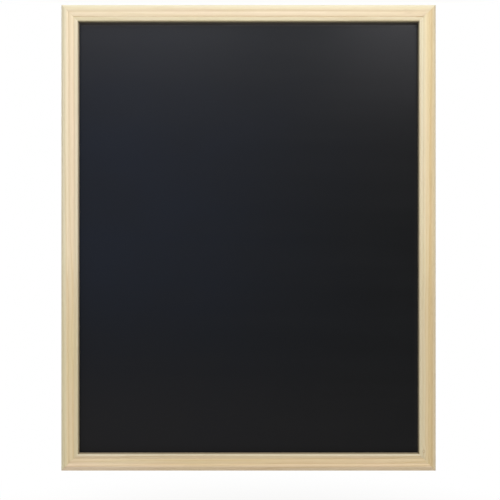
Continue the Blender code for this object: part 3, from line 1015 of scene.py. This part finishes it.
def plated(name, metal, roughness, tarnish):
    """Plated steel with fine drawn lines, duller patches and spots of tarnish."""
    plate = Plating(name)
    place = plate.place(Matrix.Identity(4))
    line = plate.noise(place, plate.line_size, seed=1.0)
    patch = plate.noise(place, plate.patch_size, seed=2.0, detail=3.0)
    spot = plate.fade(plate.noise(place, plate.spot_size, seed=3.0), *plate.spot_levels)
    dulled = plate.fade(patch, *plate.patch_levels) * tarnish
    base = plate.mix(dulled, metal, shaded(metal, plate.patch_tone))
    base = plate.mix(spot * tarnish * plate.spot_strength, base, shaded(metal, plate.spot_tone))
    dull = (line - NOISE_MEAN) * plate.line_dulls + (patch - NOISE_MEAN) * plate.patch_dulls
    return plate.principled({
        "Base Color": base,
        "Metallic": 1.0,
        "Roughness": roughness + dull + spot * plate.spot_dulls,
        "Normal": plate.bump(line, plate.line_depth, plate.relief_strength),
    })


# Pieces


def moulding_blank(side, shape):
    """Length of moulding with square ends."""
    bm = bmesh.new()
    width = MOULDING_WIDTH
    depth = MOULDING_DEPTH
    wall = width - shape.rebate_width
    ledge = SHEET_FRONT + shape.lip_gap
    bead_start = width - shape.sight_bead
    quirk_start = bead_start - shape.quirk_width
    outer_crest = (shape.outer_round, depth)
    middle_crest = ((shape.outer_reed + quirk_start) / 2, depth - shape.outer_fall + shape.reed_rise)
    bead_crest = (width - shape.sight_round, middle_crest[1] - shape.bead_drop)
    quirk_floor = middle_crest[1] - shape.quirk_depth
    bead_edge = (bead_start, bead_crest[1] - shape.bead_rise)
    pen = Pen(bm, plane_of(X_AXIS * -side.half_length, -Z_AXIS, -Y_AXIS), (shape.back_chamfer, 0.0))
    pen.line((0.0, shape.back_chamfer), (0.0, depth - shape.outer_round))
    pen.arc((shape.outer_round, depth - shape.outer_round), -QUARTER, steps=16)
    pen.low_arc(outer_crest, shape.outer_round, shape.outer_reed, shape.outer_fall, steps=8)
    pen.low_arc(middle_crest, shape.outer_reed, quirk_start, shape.reed_rise, steps=12)
    pen.line((quirk_start, quirk_floor), (bead_start, quirk_floor), bead_edge)
    pen.low_arc(bead_crest, bead_start, bead_crest[0], shape.bead_rise, steps=8)
    pen.arc((bead_crest[0], bead_crest[1] - shape.sight_round), -QUARTER, steps=12)
    pen.line((width, ledge), (wall, ledge), (wall, 0.0))
    pen.close()
    corners = [vertex for vertex in bm.verts if vertex.calc_edge_angle() > MOULDED_CORNER]
    bmesh.ops.bevel(
        bm, geom=corners, offset=shape.arris, offset_type="OFFSET", segments=2, profile=0.5,
        affect="VERTICES", material=-1,
    )
    extrude(bm, bm.faces[:], X_AXIS * (2 * side.half_length))
    return bm


def saw_mitres(bm, side, shape):
    """Saw both ends of a moulding at half a right angle."""
    for end in (-1.0, 1.0):
        outward = Vector((end, 0.0, -1.0)).normalized()
        corner = X_AXIS * (end * side.half_length) - outward * shape.glue_line
        bmesh.ops.bisect_plane(
            bm, geom=everything(bm), dist=MERGE, plane_co=corner, plane_no=outward, clear_outer=True
        )
        rim = [edge for edge in bm.edges if edge.is_boundary]
        bmesh.ops.holes_fill(bm, edges=rim, sides=0)


def nail_slots(side, slot_play):
    """Cutters for the slots that the V nails have pressed into a moulding."""
    low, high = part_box(side.node)
    cutters = []
    for node in nodes_named("v_nail"):
        nail_low, nail_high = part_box(node)
        if all(nail_low[axis] < high[axis] and nail_high[axis] > low[axis] for axis in range(3)):
            bm = merged_copy(node)
            for vertex in bm.verts:
                vertex.co += vertex.normal * slot_play
            past = [vertex for vertex in bm.verts if vertex.co.y > (nail_low.y + nail_high.y) / 2]
            bmesh.ops.translate(bm, verts=past, vec=Y_AXIS * CUT_CLEARANCE)
            cutters.append(bm)
    return cutters


def pan_head(bm, seat, sizes, head_radius, shank):
    """Turn the core and the head of a screw round its axis."""
    crown_rim = head_radius - sizes.head_shoulder
    crown_fall = sizes.head_height - sizes.head_rim - sizes.head_shoulder
    pen = Pen(bm, plane_of(seat, X_AXIS, Y_AXIS), (0.0, sizes.head_height))
    pen.low_arc((0.0, sizes.head_height), 0.0, crown_rim, crown_fall, steps=6)
    pen.arc((crown_rim, sizes.head_rim), -QUARTER, steps=6)
    pen.line((head_radius, sizes.head_ease), (head_radius - sizes.head_ease, 0.0), (sizes.core_radius, 0.0))
    pen.line((sizes.core_radius, sizes.tip_length - shank), (0.0, -shank))
    bmesh.ops.spin(
        bm, geom=everything(bm), cent=seat, axis=Y_AXIS, angle=TURN, steps=48, use_merge=True
    )
    bmesh.ops.remove_doubles(bm, verts=bm.verts[:], dist=MERGE)
    bmesh.ops.recalc_face_normals(bm, faces=bm.faces[:])


def cross_recess(seat, sizes):
    """Cutter for the cross recess in a screw's head, smaller at its floor than at its mouth."""
    bm = bmesh.new()
    reach = sizes.drive_length / 2
    half = sizes.drive_width / 2
    arm = (Vector((reach, -half)), Vector((reach, half)), Vector((half, half)))
    outline = [Matrix.Rotation(turns * QUARTER, 2) @ corner for turns in range(4) for corner in arm]
    mouth = seat + Y_AXIS * (sizes.head_height + OVERLAP)
    pen = Pen(bm, plane_of(mouth, X_AXIS, Z_AXIS), outline[0])
    pen.line(*outline[1:])
    pen.close()
    floor = extrude(bm, bm.faces[:], Y_AXIS * -(sizes.drive_depth + OVERLAP))
    narrowing = (sizes.drive_taper, 1.0, sizes.drive_taper)
    bmesh.ops.scale(bm, vec=narrowing, space=Matrix.Translation(-mouth), verts=vertices(floor))
    bmesh.ops.recalc_face_normals(bm, faces=bm.faces[:])
    return bm


def add_thread(bm, seat, sizes, shank):
    """Wind a ridge round the shank of a screw, a turn below its head and down to its tip."""
    steps_in_turn = 24
    root = sizes.core_radius - OVERLAP
    turns = round((shank - sizes.tip_length) / sizes.thread_pitch) - 1
    ridge = bmesh.new()
    start = seat - Y_AXIS * sizes.thread_pitch
    pen = Pen(ridge, plane_of(start, X_AXIS, Y_AXIS), (root, sizes.thread_foot / 2))
    pen.line((root, -sizes.thread_foot / 2), (sizes.thread_radius, 0.0))
    pen.close()
    sink = Y_AXIS * (-sizes.thread_pitch / steps_in_turn)
    bmesh.ops.spin(
        ridge, geom=ridge.faces[:], cent=seat, axis=Y_AXIS, dvec=sink,
        angle=turns * TURN, steps=turns * steps_in_turn,
    )
    bmesh.ops.recalc_face_normals(ridge, faces=ridge.faces[:])
    mesh = bpy.data.meshes.new("thread")
    ridge.to_mesh(mesh)
    ridge.free()
    bm.from_mesh(mesh)
    bpy.data.meshes.remove(mesh)


def wire_ring(sizes):
    """D ring of round wire: a bar, two bends, two sides and a bow."""
    bm = bmesh.new()
    facing = Matrix.Rotation(QUARTER, 4, "Y")
    bmesh.ops.create_circle(bm, radius=sizes.wire_radius, segments=20, matrix=facing)
    loop = bm.verts[:] + bm.edges[:]
    run = sizes.ring_width / 2 - sizes.ring_corner
    rise = Z_AXIS * (sizes.ring_side - sizes.ring_corner)
    corner_steps = 8
    bow_steps = 24
    bends = (
        (X_AXIS * run, Vector((run, 0.0, sizes.ring_corner)), QUARTER, corner_steps),
        (rise, Z_AXIS * sizes.ring_side, 2 * QUARTER, bow_steps),
        (-rise, Vector((-run, 0.0, sizes.ring_corner)), QUARTER, corner_steps),
    )
    for straight, centre, angle, steps in bends:
        loop = extrude(bm, loop, straight)
        swept = bmesh.ops.spin(bm, geom=loop, cent=centre, axis=Y_AXIS, angle=-angle, steps=steps)
        loop = swept["geom_last"]
    extrude(bm, loop, X_AXIS * run)
    bmesh.ops.remove_doubles(bm, verts=bm.verts[:], dist=MERGE)
    return bm


class CHALKBOARD_OT_mouldings(bpy.types.Operator):
    """Mould, mitre and finish the four pine sides of the frame"""

    bl_idname = "chalkboard.mouldings"
    bl_label = "Pine mouldings"

    def execute(self, context):
        shape = context.scene.chalkboard_moulding
        wood = context.scene.chalkboard_pine
        for turns in range(len(SIDES)):
            side = Side(turns)
            blank = moulding_blank(side, shape)
            saw_mitres(blank, side, shape)
            bmesh.ops.transform(blank, matrix=side.origin, verts=blank.verts[:])
            bmesh.ops.recalc_face_normals(blank, faces=blank.faces[:])
            moulding = carved(blank, nail_slots(side, shape.nail_slot))
            finished(moulding, side.node, "pine", pine(side, wood, shape), FLAT_CREASE)
        return {"FINISHED"}


class CHALKBOARD_OT_writing_sheet(bpy.types.Operator):
    """Trim and coat the writing sheet"""

    bl_idname = "chalkboard.writing_sheet"
    bl_label = "Writing sheet"

    def execute(self, context):
        panel = context.scene.chalkboard_panel
        trim("writing_sheet", panel.sheet_ease, "chalk_black", slate(panel), FLAT_CREASE)
        return {"FINISHED"}


class CHALKBOARD_OT_hardboard_back(bpy.types.Operator):
    """Trim and finish the hardboard behind the writing sheet"""

    bl_idname = "chalkboard.hardboard_back"
    bl_label = "Hardboard back"

    def execute(self, context):
        panel = context.scene.chalkboard_panel
        trim("hardboard_back", panel.back_ease, "hardboard", hardboard(panel), FLAT_CREASE)
        return {"FINISHED"}


class CHALKBOARD_OT_v_nails(bpy.types.Operator):
    """Finish the V nails that hold the mitres"""

    bl_idname = "chalkboard.v_nails"
    bl_label = "V nails"

    def execute(self, context):
        sizes = context.scene.chalkboard_fittings
        steel = plated("nail_steel", sizes.steel, roughness=0.38, tarnish=0.6)
        trim("v_nail", sizes.burr, "bright_steel", steel, METAL_CREASE)
        return {"FINISHED"}


class CHALKBOARD_OT_panel_points(bpy.types.Operator):
    """Finish the points that hold the panel in its rebate"""

    bl_idname = "chalkboard.panel_points"
    bl_label = "Panel points"

    def execute(self, context):
        sizes = context.scene.chalkboard_fittings
        steel = plated("point_steel", sizes.steel, roughness=0.34, tarnish=0.5)
        trim("panel_point", sizes.burr, "bright_steel", steel, METAL_CREASE)
        return {"FINISHED"}


class CHALKBOARD_OT_hanger_straps(bpy.types.Operator):
    """Finish the folded straps of the two hangers"""

    bl_idname = "chalkboard.hanger_straps"
    bl_label = "Hanger straps"

    def execute(self, context):
        sizes = context.scene.chalkboard_fittings
        nickel = plated("strap_nickel", sizes.nickel, roughness=0.28, tarnish=0.35)
        trim("hanger_strap", sizes.burr, "nickel_plate", nickel, METAL_CREASE)
        return {"FINISHED"}


class CHALKBOARD_OT_hanger_rings(bpy.types.Operator):
    """Bend the rings of the two hangers, which lean on the back of the frame"""

    bl_idname = "chalkboard.hanger_rings"
    bl_label = "Hanger rings"

    def execute(self, context):
        sizes = context.scene.chalkboard_fittings
        nickel = plated("ring_nickel", sizes.nickel, roughness=0.24, tarnish=0.30)
        for node in nodes_named("hanger_ring"):
            bm = wire_ring(sizes)
            pivot = PIVOTS[BODY_OF[node]]
            reach = sizes.ring_side + sizes.ring_width / 2
            lean = math.asin((pivot.y - sizes.wire_radius - sizes.ring_clearance) / reach)
            place = Matrix.Translation(pivot) @ Matrix.Rotation(lean, 4, "X")
            bmesh.ops.transform(bm, matrix=place, verts=bm.verts[:])
            finished(bm, node, "nickel_plate", nickel, WIRE_CREASE)
        return {"FINISHED"}


class CHALKBOARD_OT_hanger_screws(bpy.types.Operator):
    """Turn the pan head screws of the two hangers, each with a cross recess and a thread"""

    bl_idname = "chalkboard.hanger_screws"
    bl_label = "Hanger screws"

    def execute(self, context):
        sizes = context.scene.chalkboard_fittings
        zinc = plated("screw_zinc", sizes.zinc, roughness=0.30, tarnish=0.35)
        for node in nodes_named("hanger_screw"):
            low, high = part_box(node)
            head_radius = (high.x - low.x) / 2
            seat = Vector(((low.x + high.x) / 2, high.y - sizes.head_height, (low.z + high.z) / 2))
            shank = seat.y - low.y
            bm = bmesh.new()
            pan_head(bm, seat, sizes, head_radius, shank)
            bm = carved(bm, [cross_recess(seat, sizes)])
            add_thread(bm, seat, sizes, shank)
            finished(bm, node, "zinc_plate", zinc, SCREW_CREASE)
        return {"FINISHED"}


class CHALKBOARD_OT_stage(bpy.types.Operator):
    """Set the pale floor, the soft lamps, the white surroundings and the camera"""

    bl_idname = "chalkboard.stage"
    bl_label = "Floor, light and camera"

    def execute(self, context):
        stage = context.scene.chalkboard_stage
        square = (stage.key_size, stage.key_size)
        strip = (stage.strip_width, stage.strip_height)
        self.lay_floor(context.scene, stage)
        self.fill_world(context.scene, stage)
        self.hang_lamp(context.scene, stage, "key", square, stage.key_light)
        self.hang_lamp(context.scene, stage, "left", strip, stage.strip_light)
        self.hang_lamp(context.scene, stage, "right", strip, stage.strip_light)
        self.hang_lamp(context.scene, stage, "back", square, WHITE)
        self.set_camera(context.scene, stage)
        context.scene.view_settings.view_transform = "Standard"
        return {"FINISHED"}

    def lay_floor(self, scene, stage):
        """Pale disc that shows its shadow near the board and fades to plain white further out."""
        bm = bmesh.new()
        bmesh.ops.create_circle(bm, cap_ends=True, radius=stage.floor_radius, segments=96)
        bmesh.ops.translate(bm, verts=bm.verts[:], vec=Vector((0.0, 0.0, LOW.z - stage.floor_drop)))
        mesh = bpy.data.meshes.new("floor")
        bm.to_mesh(mesh)
        bm.free()
        floor = bpy.data.objects.new("floor", mesh)
        scene.collection.objects.link(floor)
        surface = Surface("floor")
        across, deep, _ = surface.parts(surface.place(Matrix.Identity(4)))
        outward = diagonal(across, deep)
        far = surface.fade(outward, stage.floor_near * MILLIMETRES, stage.floor_far * MILLIMETRES)
        plain = surface.add("ShaderNodeBsdfDiffuse", {}, {"Color": stage.floor})
        white = surface.add("ShaderNodeEmission", {}, {"Color": WHITE, "Strength": 1.0})
        amount = seen_directly(surface) * (stage.floor_glow + (1.0 - stage.floor_glow) * far)
        shader = surface.add("ShaderNodeMixShader", {}, {0: amount, 1: plain, 2: white})
        surface.add("ShaderNodeOutputMaterial", {}, {"Surface": shader})
        mesh.materials.append(surface.material)

    def fill_world(self, scene, stage):
        """Even light, stronger from above than from below, behind a background that is seen as white."""
        scene.world = bpy.data.worlds.new("studio")
        scene.world.use_nodes = True
        studio = Finish(scene.world.node_tree)
        upward = studio.parts(studio.add("ShaderNodeTexCoord", output="Generated"))[2]
        around = studio.mix(studio.fade(upward, -stage.horizon, stage.horizon), stage.ground, stage.sky)
        light = studio.add("ShaderNodeBackground", {}, {"Color": around, "Strength": 1.0})
        white = studio.add("ShaderNodeBackground", {}, {"Color": WHITE, "Strength": 1.0})
        shader = studio.add("ShaderNodeMixShader", {}, {0: seen_directly(studio), 1: light, 2: white})
        studio.add("ShaderNodeOutputWorld", {}, {"Surface": shader})

    def hang_lamp(self, scene, stage, name, size, light):
        """Soft lamp of this width and height that faces the board's middle."""
        offset = Vector(getattr(stage, f"{name}_place"))
        data = bpy.data.lights.new(name, "AREA")
        data.shape = "RECTANGLE"
        data.size, data.size_y = size
        data.energy = getattr(stage, f"{name}_power")
        data.color = light
        lamp = bpy.data.objects.new(name, data)
        lamp.location = CENTRE + offset
        lamp.rotation_mode = "QUATERNION"
        lamp.rotation_quaternion = (-offset).to_track_quat("-Z", "Y")
        scene.collection.objects.link(lamp)

    def set_camera(self, scene, stage):
        """Camera square to the board, with the board a little above the middle of the picture."""
        data = bpy.data.cameras.new("camera")
        face_distance = stage.camera_distance + LOW.y
        data.lens = data.sensor_width * face_distance / stage.frame_height
        camera = bpy.data.objects.new("camera", data)
        camera.location = CENTRE + Vector((stage.camera_shift, -stage.camera_distance, -stage.camera_drop))
        camera.rotation_euler = (QUARTER, 0.0, 0.0)
        scene.collection.objects.link(camera)
        scene.camera = camera


def seen_directly(finish):
    """1 for rays from the lens and for those that show in a reflection or through glass, otherwise 0."""
    kinds = ("Is Camera Ray", "Is Glossy Ray", "Is Transmission Ray")
    camera, glossy, through = (finish.add("ShaderNodeLightPath", output=kind) for kind in kinds)
    return camera.larger(glossy.larger(through))


OPERATORS = (
    CHALKBOARD_OT_mouldings,
    CHALKBOARD_OT_writing_sheet,
    CHALKBOARD_OT_hardboard_back,
    CHALKBOARD_OT_v_nails,
    CHALKBOARD_OT_panel_points,
    CHALKBOARD_OT_hanger_straps,
    CHALKBOARD_OT_hanger_rings,
    CHALKBOARD_OT_hanger_screws,
    CHALKBOARD_OT_stage,
)


class CHALKBOARD_PT_sidebar(bpy.types.Panel):
    """Sizes, colours and steps of the chalkboard"""

    bl_idname = "CHALKBOARD_PT_sidebar"
    bl_label = "Wall chalkboard"
    bl_space_type = "VIEW_3D"
    bl_region_type = "UI"
    bl_category = "Chalkboard"

    def draw(self, context):
        for name, group in SETTINGS.items():
            box = self.layout.box()
            box.label(text=group.__doc__)
            for setting in group.__annotations__:
                box.prop(getattr(context.scene, name), setting)
        for operator in OPERATORS:
            self.layout.operator(operator.bl_idname)


CLASSES = (*SETTINGS.values(), *OPERATORS, CHALKBOARD_PT_sidebar)


def register():
    """Register the classes and hang the settings on the scene."""
    for cls in CLASSES:
        bpy.utils.register_class(cls)
    for name, group in SETTINGS.items():
        setattr(bpy.types.Scene, name, PointerProperty(type=group))


def unregister():
    """Take the settings and the classes away again."""
    for name in SETTINGS:
        delattr(bpy.types.Scene, name)
    for cls in reversed(CLASSES):
        bpy.utils.unregister_class(cls)


def main():
    """Dress the board."""
    register()
    bpy.ops.chalkboard.mouldings()
    bpy.ops.chalkboard.writing_sheet()
    bpy.ops.chalkboard.hardboard_back()
    bpy.ops.chalkboard.v_nails()
    bpy.ops.chalkboard.panel_points()
    bpy.ops.chalkboard.hanger_straps()
    bpy.ops.chalkboard.hanger_rings()
    bpy.ops.chalkboard.hanger_screws()
    bpy.ops.chalkboard.stage()


if __name__ == "__main__":
    main()
